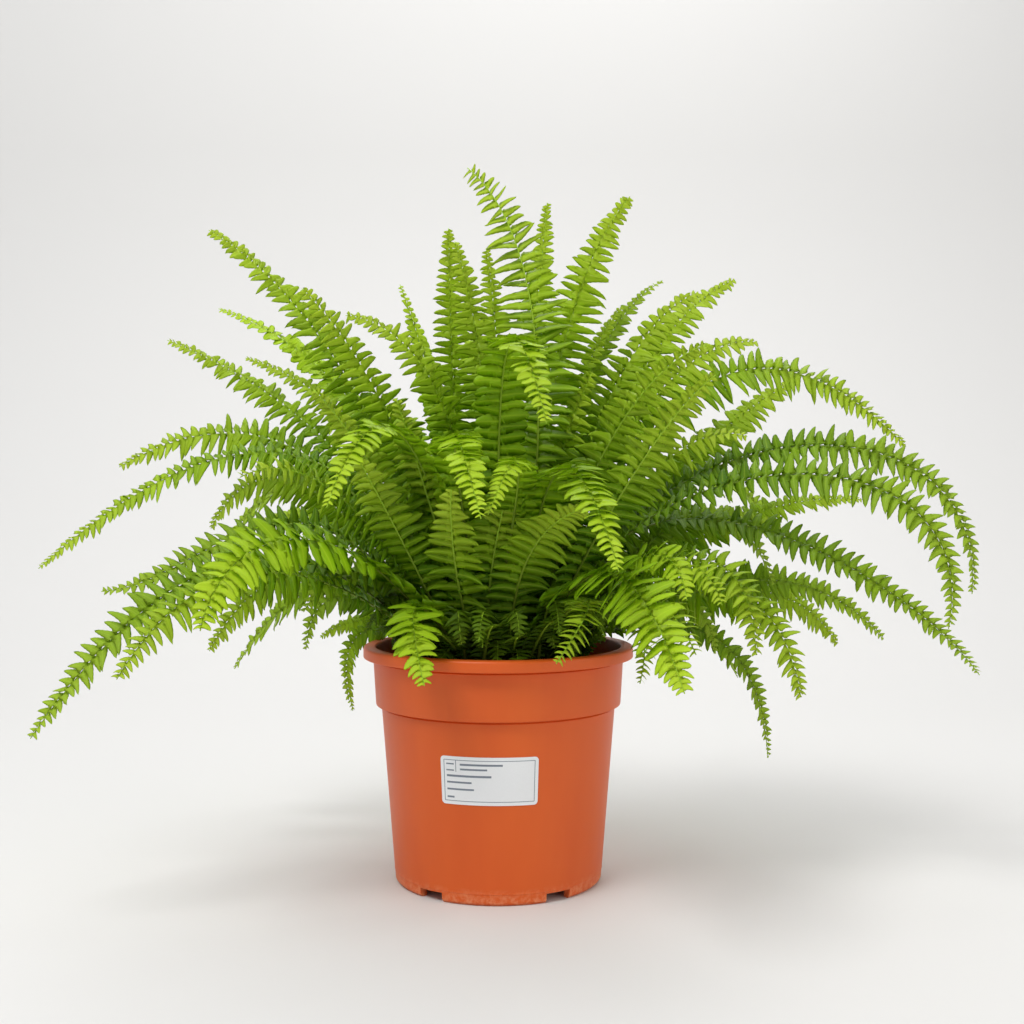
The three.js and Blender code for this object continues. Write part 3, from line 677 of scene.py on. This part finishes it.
# Each frond as the solids have it: its node, the points that its rib passes with its tip last, the turn
# of its blade towards the front in degrees, its longest leaflet, and its age.
fronds = [
    ("front_right_light", [(67, -110, 222), (101, -226, 164)], 32, 27, "young"),
    ("front_left_light", [(-90, -62, 228), (-143, -125, 240), (-170, -185, 194)], 45, 27, "young"),
    ("front_rim_left", [(-53, -70, 197), (-45, -135, 155)], 5, 21, "young"),
    ("front_droop_top", [(4, -70, 356), (28, -170, 313)], 0, 22, "young"),
    ("front_droop_centre", [(-28, -75, 300), (-10, -185, 258)], 0, 20, "young"),
    ("front_droop_centre", [(13, -85, 283), (-6, -165, 260)], 0, 16, "young"),
    ("front_droop_right", [(37, -85, 284), (67, -205, 229)], 5, 21, "young"),
    ("front_droop_left", [(-61, -70, 307), (-101, -160, 264)], 15, 20, "young"),
    ("front_right_back", [(84, -75, 207), (119, -145, 175)], 35, 22, "mid"),
    ("front_centre", [(-28, -62, 221), (-30, -95, 274)], 0, 22, "mid"),
    ("front_centre", [(-46, -48, 264), (-67, -66, 334)], -30, 22, "mid"),
    ("front_centre_tall", [(-6, -48, 207), (8, -72, 282)], 0, 23, "mid"),
    ("front_centre_tall", [(39, -34, 287), (63, -48, 353)], 70, 23, "mid"),
    ("front_left_rise", [(-64, -58, 240), (-93, -92, 300)], -30, 23, "mid"),
    ("front_right_rise", [(19, -70, 228), (53, -125, 263)], -30, 24, "mid"),
    ("front_right_rise", [(56, -85, 202), (35, -140, 169)], 0, 16, "mid"),
    ("front_right_short", [(94, -62, 228), (118, -112, 205)], 40, 19, "young"),
    ("front_right_short", [(88, -42, 187), (92, -80, 148)], 30, 13, "mid"),
    ("top_centre", [(25, -40, 375), (-21, -30, 493)], -50, 31, "mid"),
    ("top_right", [(45, 28, 368), (98, 56, 492)], 55, 25, "mid"),
    ("top_left_a", [(-31, 26, 317), (-37, 50, 467)], 10, 20, "mid"),
    ("top_left_b", [(-8, -8, 316), (-31, 15, 451)], 30, 21, "mid"),
    ("top_left_c", [(1, 22, 324), (-9, 36, 450)], 10, 19, "mid"),
    ("left_up_inner", [(-36, -28, 326), (-106, -12, 395)], 50, 22, "mid"),
    ("left_up_long", [(-105, 6, 348), (-210, 32, 462)], 35, 24, "mid"),
    ("left_up_long", [(-134, 34, 214), (-216, 56, 153)], 75, 22, "mid"),
    ("left_up_thick", [(-67, -34, 306), (-133, -36, 410)], 60, 27, "mid"),
    ("left_up_thick", [(-86, -38, 216), (-129, -60, 193)], 50, 20, "deep"),
    ("left_fill_high", [(-71, -52, 267), (-120, -76, 339)], -30, 23, "mid"),
    ("right_up_b", [(77, -2, 334), (143, 14, 415)], 45, 26, "mid"),
    ("right_up_b", [(136, 28, 246), (223, 56, 230)], 60, 18, "mid"),
    ("right_up_c", [(95, 35, 341), (178, 66, 432)], 35, 24, "mid"),
    ("right_up_c", [(182, 42, 207), (290, 58, 161)], 65, 20, "deep"),
    ("right_up_low", [(95, -35, 321), (177, -28, 375)], 50, 25, "mid"),
    ("right_rise_inner", [(73, -60, 304), (133, -88, 367)], -35, 24, "mid"),
    ("right_rise_inner", [(130, -49, 227), (170, -68, 165)], 50, 22, "mid"),
    ("right_rise_low", [(87, -74, 282), (136, -108, 346)], -35, 24, "mid"),
    ("right_rise_low", [(103, -70, 224), (140, -112, 202)], 45, 18, "mid"),
    ("right_up_a", [(62, 50, 342), (126, 86, 434)], 25, 19, "deep"),
    ("right_up_small", [(51, 36, 317), (92, 56, 410)], 15, 17, "mid"),
    ("left_mid_high", [(-113, 45, 294), (-251, 76, 387)], 30, 20, "mid"),
    ("left_mid_high", [(-100, 40, 168), (-109, 56, 108)], 75, 12, "mid"),
    ("left_mid", [(-139, 14, 299), (-272, 18, 290)], 50, 22, "mid"),
    ("left_mid", [(-138, 22, 275), (-212, 44, 245)], 55, 20, "mid"),
    ("left_long_thin", [(-141, -14, 297), (-320, -12, 219)], 40, 17, "mid"),
    ("left_mid_low", [(-124, -24, 248), (-196, -46, 233), (-262, -62, 207)], 48, 22, "deep"),
    ("left_mid_low", [(-109, 8, 197), (-138, 14, 159)], 70, 15, "deep"),
    ("left_fill_mid", [(-102, -62, 267), (-162, -106, 282)], 55, 22, "mid"),
    ("left_low_long", [(-164, -70, 227), (-290, -118, 120)], 45, 24, "deep"),
    ("left_low_inner", [(-148, -88, 221), (-232, -134, 159)], 50, 22, "mid"),
    ("right_arch_high", [(147, 8, 348), (294, 18, 305)], 55, 22, "mid"),
    ("right_straight", [(135, 48, 285), (231, 92, 358)], 35, 24, "mid"),
    ("right_straight", [(152, 34, 168), (202, 52, 73)], 65, 15, "deep"),
    ("right_arch_a", [(133, -18, 281), (261, -42, 297), (318, -52, 204)], 55, 22, "deep"),
    ("right_arch_b", [(119, -42, 264), (239, -82, 277), (285, -104, 186)], 55, 24, "deep"),
    ("right_mid", [(123, 0, 252), (248, -10, 218), (322, -56, 150)], 50, 21, "deep"),
    ("right_low_front", [(153, -30, 204), (204, -48, 134)], 50, 22, "mid"),
    ("right_low_front", [(120, 4, 196), (156, 12, 156)], 65, 15, "deep"),
    ("right_fill_high", [(104, -24, 281), (169, -38, 310)], 50, 22, "mid"),
    ("right_fill_high", [(138, 16, 252), (202, 34, 204)], 55, 20, "deep"),
    ("right_small_tip", [(161, 62, 242), (282, 92, 266)], 45, 17, "mid"),
    ("right_small_tip", [(181, 78, 197), (269, 114, 151)], 70, 20, "mid"),
    ("small_up_left", [(-41, 58, 311), (-76, 95, 432)], 0, 16, "young"),
    ("left_high_thin", [(-102, 80, 327), (-222, 124, 417)], 25, 18, "young"),
    ("left_high_thin", [(-97, 52, 240), (-182, 84, 249)], 55, 18, "mid"),
    ("left_high_short", [(-96, 60, 303), (-195, 92, 375)], 25, 18, "mid"),
    ("left_high_short", [(-90, 68, 174), (-139, 102, 158)], 65, 12, "mid"),
    ("top_behind", [(24, 62, 341), (38, 98, 496)], 0, 20, "mid"),

    # the side that faces away, as full as the rest
    ("back_centre_high", [(-8, 112, 358), (-24, 205, 385)], 0, 27, "mid"),
    ("back_centre_high", [(-30, 92, 196), (-58, 168, 134)], 0, 22, "mid"),
    ("back_left_high", [(-74, 108, 312), (-150, 205, 318)], 35, 26, "mid"),
    ("back_left_high", [(-118, 88, 204), (-214, 142, 128)], 50, 24, "deep"),
    ("back_right_high", [(80, 106, 318), (158, 205, 330)], 35, 26, "mid"),
    ("back_right_high", [(110, 90, 198), (196, 152, 120)], 50, 23, "deep"),
    ("back_centre", [(16, 118, 282), (36, 228, 226)], 0, 27, "mid"),
    ("back_centre", [(30, 92, 198), (48, 172, 140)], 0, 20, "young"),
    ("back_left_mid", [(-128, 104, 276), (-232, 180, 222)], 50, 26, "deep"),
    ("back_right_mid", [(130, 100, 280), (244, 178, 230)], 50, 26, "deep"),
    ("back_left_arch", [(-50, 112, 256), (-104, 225, 170)], 0, 26, "mid"),
    ("back_right_arch", [(72, 112, 250), (132, 222, 168)], 0, 25, "deep"),
]

stem = {
    "rise": 3.0,          # upright part of the stalk above the soil
    "depth": 11.0,        # part below it
    "wide": 1.5,          # half width at the foot
    "tipWide": 0.35,
    "tipAt": 1 / 1.1,     # share of the rib where it is as thin as its tip
    "thinning": 0.7,      # below 1, it thins faster near its foot
    "flat": 0.8,          # how deep it is, over its width
    "groove": 0.45,       # the same over the groove on its top
    "innerRing": 3.0,     # the feet stand between these distances from the pot's axis
    "outerRing": 46.0,
    "spacing": 8.0,
    "pushes": 80,         # rounds in which feet that stand too close move apart
    "sides": 8,
    "rings": 42,
    "steps": 200,         # in which a rib's length is measured
}

blade = {
    "bare": 0.035,        # share of the rib without leaflets
    "end": 0.994,
    "fewest": 7,          # a short frond has at least so many pairs of leaflets
    "closest": 0.55,      # where leaflets are tiny, their spacing is this share of the habit's
    "fullSize": 24,       # length of a leaflet that has the whole spacing
    "crowding": 1.2,      # above 1, the leaflets stand closer towards the tip
    "stagger": 0.25,      # right and left leaflets stand this share of a spacing off the middle
    "footShare": 0.45,    # length of the first leaflets, as a share of the longest
    "fullFrom": 0.25,     # share of the blade where they reach their full length
    "fullTo": 0.6,        # and where they begin to shorten again
    "tipShare": 0.2,      # length of the last ones
    "shortening": 1.5,    # above 1, they shorten late
    "lean": 3,            # degrees towards the frond's tip
    "tipLean": 14,
    "turnFrom": 0.1,      # share of the rib where the blade begins to turn to the front
    "turnTo": 0.6,
    "tone": 0.38,         # mean tone of the leaflets, and a higher one is lighter
    "seed": 100,
}

# Lengths along a leaflet are shares of its length and widths are shares of its half width, if not in mm.
leaflet = {
    "rows": 14,           # rows of faces along it
    "gather": 0.9,        # below 1, the rows are closer towards its tip
    "neck": 0.9,          # width at its root
    "neckTo": 0.06,
    "lateTaper": 0.15,    # share of the taper that grows with the square of the length
    "scallops": 5,        # along each edge
    "scallopDepth": 0.06,
    "scallopsFrom": 0.15,
    "ear": 0.3,           # a small ear on the edge nearest the frond's tip
    "earAt": 0.1,
    "earWide": 0.08,
    "vee": 0.16,          # how far its halves rise from its midrib
    "waves": 1.6,         # half waves along its edge
    "curl": 2.2,          # above 1, it droops late
    "straightDown": 0.6,  # share of the droop that goes down, the rest follows the blade
    "shrink": 0.08,       # reach lost to its curl
    "widest": 0.8,        # its width is at most this share of its length
    "rootOut": 0.21,      # mm that its root lies out from the middle of the rib
    "rootUp": 0.2,        # mm above it
    "thick": 0.24,        # mm
    "keelEnds": (0.15, 0.1),  # how soon its thickness begins at its root and ends at its tip, in radians
}

# What changes with age: the spacing of the leaflets in mm, their width over that spacing, how much of
# their width is gone by their tip, their length over the solid's, how far both halves of the blade fold
# up in degrees, how much of a leaflet is its end, how blunt that is, the droop of its tip as a share of
# its length, and its tilt about its own length in degrees.
habits = {
    "young": {"pitch": 7.2, "width": 1.6, "taper": 0.46, "length": 0.93, "fold": 6, "round": 0.45,
              "blunt": 2.4, "droop": 0.22, "tilt": 8},
    "mid": {"pitch": 6.5, "width": 1.12, "taper": 0.68, "length": 0.99, "fold": 11, "round": 0.34,
            "blunt": 2.0, "droop": 0.34, "tilt": 27},
    "deep": {"pitch": 6.8, "width": 1.26, "taper": 0.82, "length": 0.86, "fold": 18, "round": 0.2,
             "blunt": 1.6, "droop": 0.22, "tilt": 16},
    "shaded": {"pitch": 4.8, "width": 1.2, "taper": 0.6, "length": 1.0, "fold": 10, "round": 0.3,
               "blunt": 2.0, "droop": 0.25, "tilt": 12},
}

# How uneven the plant is. A pair is the lowest and the highest, and one value is a usual deviation.
uneven = {
    "frondFold": (0.7, 1.3),  # times the habit's fold
    "frondTone": 0.07,
    "length": (0.87, 1.08),   # times the length by rule
    "width": (0.92, 1.08),
    "lean": 6,                # degrees, as are the next two
    "fold": 7,
    "tilt": 11,
    "wave": (0.01, 0.08),     # height of the edge's waves, as a share of the leaflet's length
    "droop": (0.4, 1.7),      # times the habit's droop
    "bend": (0.0, 0.14),      # how far a leaflet's tip bends to the frond's, as a share of its length
    "tone": 0.12,
}


def footPlaces(names):
    # each frond roots on its own side of the crown, and the feet are then pushed apart
    places = []
    for name in names:
        x, y, z = next(row[1][0] for row in fronds if row[0] == name)
        reach = math.hypot(x, y)
        low = reach / (reach + max(0, z - soil["plateauHeight"]))
        ring = blendBetween(stem["innerRing"], stem["outerRing"], math.sqrt(low))
        places.append(Vector((x, y)) * (ring / reach))
    for _ in range(stem["pushes"]):
        for i, a in enumerate(places):
            for b in places[i + 1:]:
                apart = b - a
                short = stem["spacing"] - apart.length
                if short > 0:
                    apart.length = short / 2
                    a -= apart
                    b += apart
    return dict(zip(names, places))


class Rib:
    # a smooth arch from the soil that passes the frond's points at even steps of its way
    def __init__(self, foot, path, turn):
        self.foot = foot
        start = Vector((foot.x, foot.y, soil["plateauHeight"] + stem["rise"]))
        points = [start] + [Vector(point) for point in path]
        if len(points) == 3:
            a, b, c = points
            self.handles = [a, b * 2 - (a + c) / 2, c]
        else:
            a, b, c, d = points
            self.handles = [a, (a * -5 + b * 18 - c * 9 + d * 2) / 6, (a * 2 - b * 9 + c * 18 - d * 5) / 6, d]
        self.places = np.linspace(0, 1, stem["steps"] + 1)
        steps = [self.point(i / stem["steps"]) for i in range(stem["steps"] + 1)]
        self.lengths = np.concatenate([[0], np.cumsum([(b - a).length for a, b in zip(steps, steps[1:])])])
        self.length = float(self.lengths[-1])
        outward = points[-1] - start
        outward.z = 0
        outward.normalize()
        self.across = Vector((outward.y, -outward.x, 0))
        self.turn = math.radians(turn) * (1 if outward.x > 0 else -1)

    def between(self, handles, t):
        while len(handles) > 1:
            handles = [a.lerp(b, t) for a, b in zip(handles, handles[1:])]
        return handles[0]

    def point(self, t):
        return self.between(self.handles, t)

    def at(self, share):
        # the point there, and the directions along the rib, across it and up from the blade
        t = float(np.interp(share * self.length, self.lengths, self.places))
        along = self.between([b - a for a, b in zip(self.handles, self.handles[1:])], t).normalized()
        turn = self.turn * smoothStep(share, blade["turnFrom"], blade["turnTo"])
        level = (self.across - along * self.across.dot(along)).normalized()
        side = level * math.cos(turn) + along.cross(level) * math.sin(turn)
        return self.point(t), along, side, side.cross(along)


def leafletShare(v):
    rise = blendBetween(blade["footShare"], 1, min(1, v / blade["fullFrom"]))
    beyond = max(0, v - blade["fullTo"]) / (1 - blade["fullTo"])
    return rise * blendBetween(1, blade["tipShare"], beyond ** blade["shortening"])


def leafletOutline(habit):
    # where a leaflet's rows lie, its half width there and its ear: widest near its root, then a taper
    # with shallow scallops, and a rounded end
    p = leaflet
    u = np.linspace(0, 1, p["rows"] + 1) ** p["gather"]
    root = blendBetween(p["neck"], 1, np.sqrt(np.clip(u / p["neckTo"], 0, 1)))
    taper = 1 - habit["taper"] * blendBetween(u, u ** 2, p["lateTaper"])
    end = np.clip((u - 1 + habit["round"]) / habit["round"], 0, 1)
    tip = np.sqrt(np.clip(1 - end ** habit["blunt"], 0.002, 1))
    waves = np.sin(2 * math.pi * p["scallops"] * u) * np.clip(u / p["scallopsFrom"], 0, 1)
    half = root * taper * tip * (1 + p["scallopDepth"] * waves)
    ear = p["ear"] * np.exp(-((u - p["earAt"]) / p["earWide"]) ** 2)
    return u[:, None], half[:, None], ear[:, None]


acrossShares = np.array([-1, -0.5, 0, 0.5, 1])[None, :]
outlines = {age: leafletOutline(habit) for age, habit in habits.items()}
gridRows, gridColumns = leaflet["rows"] + 1, acrossShares.size


def leafletFaces():
    # the upper side, and under it two faces a row that meet on a keel
    faces = []
    keel = gridRows * gridColumns
    for i in range(gridRows - 1):
        for j in range(gridColumns - 1):
            v = i * gridColumns + j
            faces.append((v, v + 1, v + gridColumns + 1, v + gridColumns))
        left, right, middle = i * gridColumns, i * gridColumns + gridColumns - 1, keel + i
        faces.append((left, left + gridColumns, middle + 1, middle))
        faces.append((middle, middle + 1, right + gridColumns, right))
    for i, turned in ((0, False), (gridRows - 1, True)):
        v, middle = i * gridColumns, keel + i
        for face in ((v, middle, v + 2, v + 1), (v + 2, middle, v + 4, v + 3)):
            faces.append(face[::-1] if turned else face)
    return np.array(faces)


leafletQuads = leafletFaces()


def leafletPoints(age, root, along, out, upper, length, width, shape):
    # out is the leaflet's own direction away from the rib; along points to the frond's tip
    p = leaflet
    u, half, ear = outlines[age]
    half = half * width / 2
    forward = acrossShares * half + ear * np.clip(acrossShares, 0, 1) * width / 2
    lift = forward * math.sin(shape["tilt"]) + p["vee"] * np.abs(acrossShares) * half
    waves = np.sin(math.pi * (u * p["waves"] + shape["phase"])) * acrossShares ** 2
    lift = lift + shape["wave"] * length * waves
    curl = shape["droop"] * length * u ** p["curl"]
    reach = length * (u - p["shrink"] * u ** 3)
    sweep = forward * math.cos(shape["tilt"]) + shape["bend"] * length * u ** 2
    root, out, along, upper = (np.array(v) for v in (root, out, along, upper))
    rise = lift - (1 - p["straightDown"]) * curl
    grid = root + reach[..., None] * out + sweep[..., None] * along + rise[..., None] * upper
    grid[..., 2] -= p["straightDown"] * curl
    first, last = p["keelEnds"]
    keel = np.sin(np.linspace(first, math.pi - last, gridRows))[:, None] * p["thick"]
    under = grid[:, gridColumns // 2, :] - upper * keel
    return np.concatenate([grid.reshape(-1, 3), under])


def ribTube(rib, verts, faces, marks):
    # two rings take it straight down into the soil, then it follows the rib; its underside is round
    _, _, side, _ = rib.at(0)
    level = Vector((side.x, side.y, 0)).normalized()
    rings = []
    for drop in (stem["depth"], 0):
        buried = Vector((rib.foot.x, rib.foot.y, soil["plateauHeight"] - drop))
        rings.append((0.0, buried, level, level.cross(Vector((0, 0, 1))), stem["wide"]))
    for i in range(stem["rings"]):
        share = i / (stem["rings"] - 1)
        point, _, side, upper = rib.at(share)
        thinned = min(1, share / stem["tipAt"]) ** stem["thinning"]
        rings.append((share, point, side, upper, blendBetween(stem["wide"], stem["tipWide"], thinned)))
    first, sides = len(verts), stem["sides"]
    for share, point, side, upper, wide in rings:
        for k in range(sides):
            angle = 2 * math.pi * k / sides
            deep = stem["groove"] if k == sides // 4 else stem["flat"]
            verts.append(point + side * math.cos(angle) * wide + upper * math.sin(angle) * wide * deep)
            marks.append((share, 0.0, 0.0, 0.0))
    for i in range(len(rings) - 1):
        for k in range(sides):
            a, b = first + i * sides + k, first + i * sides + (k + 1) % sides
            faces.append((a, a + sides, b + sides, b))
    faces.append(tuple(first + k for k in range(sides)))
    last = first + (len(rings) - 1) * sides
    faces.append(tuple(last + k for k in range(sides - 1, -1, -1)))


def growFrond(rib, longest, age, dice, parts, kind):
    # adds a frond to a piece's points, faces, marks and kinds of face, 0 on the rib and kind on the leaflets
    verts, faces, marks, kinds = parts
    ribTube(rib, verts, faces, marks)
    kinds.extend([0] * (len(faces) - len(kinds)))
    habit = habits[age]
    u = outlines[age][0][:, 0]
    bladeLength = rib.length * (blade["end"] - blade["bare"])
    spacing = habit["pitch"] * blendBetween(blade["closest"], 1, longest / blade["fullSize"])
    pairs = max(blade["fewest"], round(bladeLength / spacing))
    spread = [1 - (1 - i / pairs) ** blade["crowding"] for i in range(pairs + 1)]
    frondFold = habit["fold"] * dice.uniform(*uneven["frondFold"])
    frondTone = dice.gauss(0.0, uneven["frondTone"])
    for i in range(pairs):
        for hand in (1, -1):
            v = blendBetween(spread[i], spread[i + 1], 0.5 + blade["stagger"] * hand)
            pitch = (spread[i + 1] - spread[i]) * bladeLength
            point, along, side, upper = rib.at(blendBetween(blade["bare"], blade["end"], v))
            length = longest * leafletShare(v) * habit["length"] * dice.uniform(*uneven["length"])
            width = min(pitch * habit["width"] * dice.uniform(*uneven["width"]), length * leaflet["widest"])
            lean = math.radians(blade["lean"] + blade["tipLean"] * v * v + dice.gauss(0, uneven["lean"]))
            fold = math.radians(frondFold + dice.gauss(0, uneven["fold"]))
            outward = side * hand * math.cos(fold) + upper * math.sin(fold)
            raised = upper * math.cos(fold) - side * hand * math.sin(fold)
            out = outward * math.cos(lean) + along * math.sin(lean)
            root = point + outward * leaflet["rootOut"] + upper * leaflet["rootUp"]
            shape = {
                "tilt": math.radians(habit["tilt"] + dice.gauss(0, uneven["tilt"])),
                "wave": dice.uniform(*uneven["wave"]),
                "phase": dice.random(),
                "droop": habit["droop"] * dice.uniform(*uneven["droop"]),
                "bend": dice.uniform(*uneven["bend"]),
            }
            tone = frondTone + dice.gauss(blade["tone"], uneven["tone"])
            start = len(verts)
            verts.extend(leafletPoints(age, root, along, out, raised, length, width, shape))
            marks.extend((v, a, b, tone) for a in u for b in acrossShares[0])
            marks.extend((v, a, 0.0, tone) for a in u)
            quads = leafletQuads + start
            faces.extend(map(tuple, quads if hand == 1 else quads[:, ::-1]))
    kinds.extend([kind] * (len(faces) - len(kinds)))


def addFern(name, parts, ages):
    verts, faces, marks, kinds = parts
    points = np.array([tuple(v) for v in verts]) * mm
    piece = addObject(name, points, faces, [rachis] + [leafMaterials[age] for age in ages])
    piece.data.polygons.foreach_set("material_index", np.array(kinds, dtype=np.int32))
    values = np.array(marks, dtype=np.float32)  # what the leaf's material reads at each point
    for column, title in enumerate(("along", "outward", "across", "tone")):
        layer = piece.data.attributes.new(title, "FLOAT", "POINT")
        layer.data.foreach_set("value", values[:, column].copy())
    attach(piece, "root")
    return piece


def buildFronds():
    names = list(dict.fromkeys(row[0] for row in fronds))
    feet = footPlaces(names)
    for number, name in enumerate(names):
        dice = random.Random(blade["seed"] + number)
        rows = [row for row in fronds if row[0] == name]
        ages = list(dict.fromkeys(row[4] for row in rows))
        parts = ([], [], [], [])
        for _, path, turn, longest, age in rows:
            growFrond(Rib(feet[name], path, turn), longest, age, dice, parts, 1 + ages.index(age))
        piece = addFern("fern_" + name, parts, ages)
        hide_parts("frond_" + name)


buildFronds()
print("fronds grown")


shoots = {
    "perQuarter": 16,
    "foot": (34, 64),     # how far from the pot's axis each one roots
    "middle": (68, 80),   # where it is highest
    "tip": (80, 102),
    "rise": (172, 204),   # height of its middle
    "tipHeight": (173, 188),
    "longest": (8, 13),
    "turn": (5, 35),      # degrees
    "stray": 0.35,        # how far each one strays from its even place, as a share of the gap
    "aside": 12,          # how far its tip strays to a side,
    "middleAside": 0.4,   # and what share of that its middle does
    "insideEvery": 3,     # every third one stays inside the rim
    "insideReach": 0.8,
    "insideSink": 16,
    "seed": 31,
}


def buildShoots():
    # short shaded fronds that fill the crown just above the pot's rim, in four pieces round the pot
    dice = random.Random(shoots["seed"])
    for quarter in range(4):
        parts = ([], [], [], [])
        for i in range(shoots["perQuarter"]):
            number = quarter * shoots["perQuarter"] + i
            stray = dice.uniform(-shoots["stray"], shoots["stray"])
            angle = 2 * math.pi * ((number + stray) / (4 * shoots["perQuarter"]))
            way = Vector((math.cos(angle), math.sin(angle)))
            inside = number % shoots["insideEvery"] == 0
            reach, sink = (shoots["insideReach"], shoots["insideSink"]) if inside else (1, 0)
            aside = Vector((-way.y, way.x)) * dice.uniform(-shoots["aside"], shoots["aside"])
            foot = way * dice.uniform(*shoots["foot"])
            middle = way * dice.uniform(*shoots["middle"]) * reach + aside * shoots["middleAside"]
            tip = way * dice.uniform(*shoots["tip"]) * reach + aside
            path = [(*middle, dice.uniform(*shoots["rise"]) - sink),
                    (*tip, dice.uniform(*shoots["tipHeight"]) - sink)]
            rib = Rib(foot, path, dice.uniform(*shoots["turn"]))
            growFrond(rib, dice.uniform(*shoots["longest"]), "shaded", dice, parts, 1)
        piece = addFern(f"crown_shoots_{quarter + 1}", parts, ["shaded"])


buildShoots()
print("crown filled")


# the studio, in metres
stage = {
    "reach": 6.0,
    "wallAt": 1.6,
    "curve": 0.9,         # radius of the sweep between floor and wall
    "steps": 12,
    "wallHeight": 4.5,
    "paint": "#d8d7d5",
    "skyColour": "#f3f5f8",
    "skyStrength": 0.52,
}

# each lamp: where it hangs and where it points, its width, its watts and its colour
lamps = {
    "windowLight": ((-0.9, -1.1, 2.3), (0, 0, 0.25), 1.2, 42, "#ffffff"),
    "roomFill": ((1.8, -1.2, 1.0), (0, 0, 0.2), 1.8, 11, "#fff9f2"),
    "wallWash": ((0, 0.5, 2.6), (0, 1.6, 0.7), 1.8, 12, "#ffffff"),
    "backGlow": ((0.3, 1.2, 1.95), (0, 0, 0.35), 1.2, 12, "#ffffff"),
}


def buildStage():
    # a pale floor that sweeps up into a pale wall
    curve, bendAt = stage["curve"], stage["wallAt"] - stage["curve"]
    profile = [(-stage["reach"], 0.0), (bendAt, 0.0)]
    for k in range(1, stage["steps"] + 1):
        angle = math.pi / 2 * k / stage["steps"]
        profile.append((bendAt + curve * math.sin(angle), curve * (1 - math.cos(angle))))
    profile.append((stage["wallAt"], stage["wallHeight"]))
    verts = [(side * stage["reach"], y, z) for side in (-1, 1) for y, z in profile]
    n = len(profile)
    faces = [(i, n + i, n + i + 1, i + 1) for i in range(n - 1)]
    sweep = addObject("studio_sweep", verts, faces, [mattPaint("palePaint", stage["paint"])])


def addLamp(name, place, target, size, power, colour):
    data = bpy.data.lights.new(name, "AREA")
    data.shape = "DISK"
    data.size = size
    data.energy = power
    data.color = srgb(colour)[:3]
    lamp = addToScene(name, data)
    lamp.location = place
    lamp.rotation_euler = (Vector(target) - Vector(place)).to_track_quat("-Z", "Y").to_euler()


def lightSky():
    world = bpy.data.worlds.new("softStudio")
    world.use_nodes = True
    background = world.node_tree.nodes["Background"]
    background.inputs["Color"].default_value = srgb(stage["skyColour"])
    background.inputs["Strength"].default_value = stage["skyStrength"]
    bpy.context.scene.world = world


buildStage()
lightSky()
for name, lamp in lamps.items():
    addLamp(name, *lamp)
bpy.context.scene.view_settings.view_transform = "Standard"
print("stage lit")
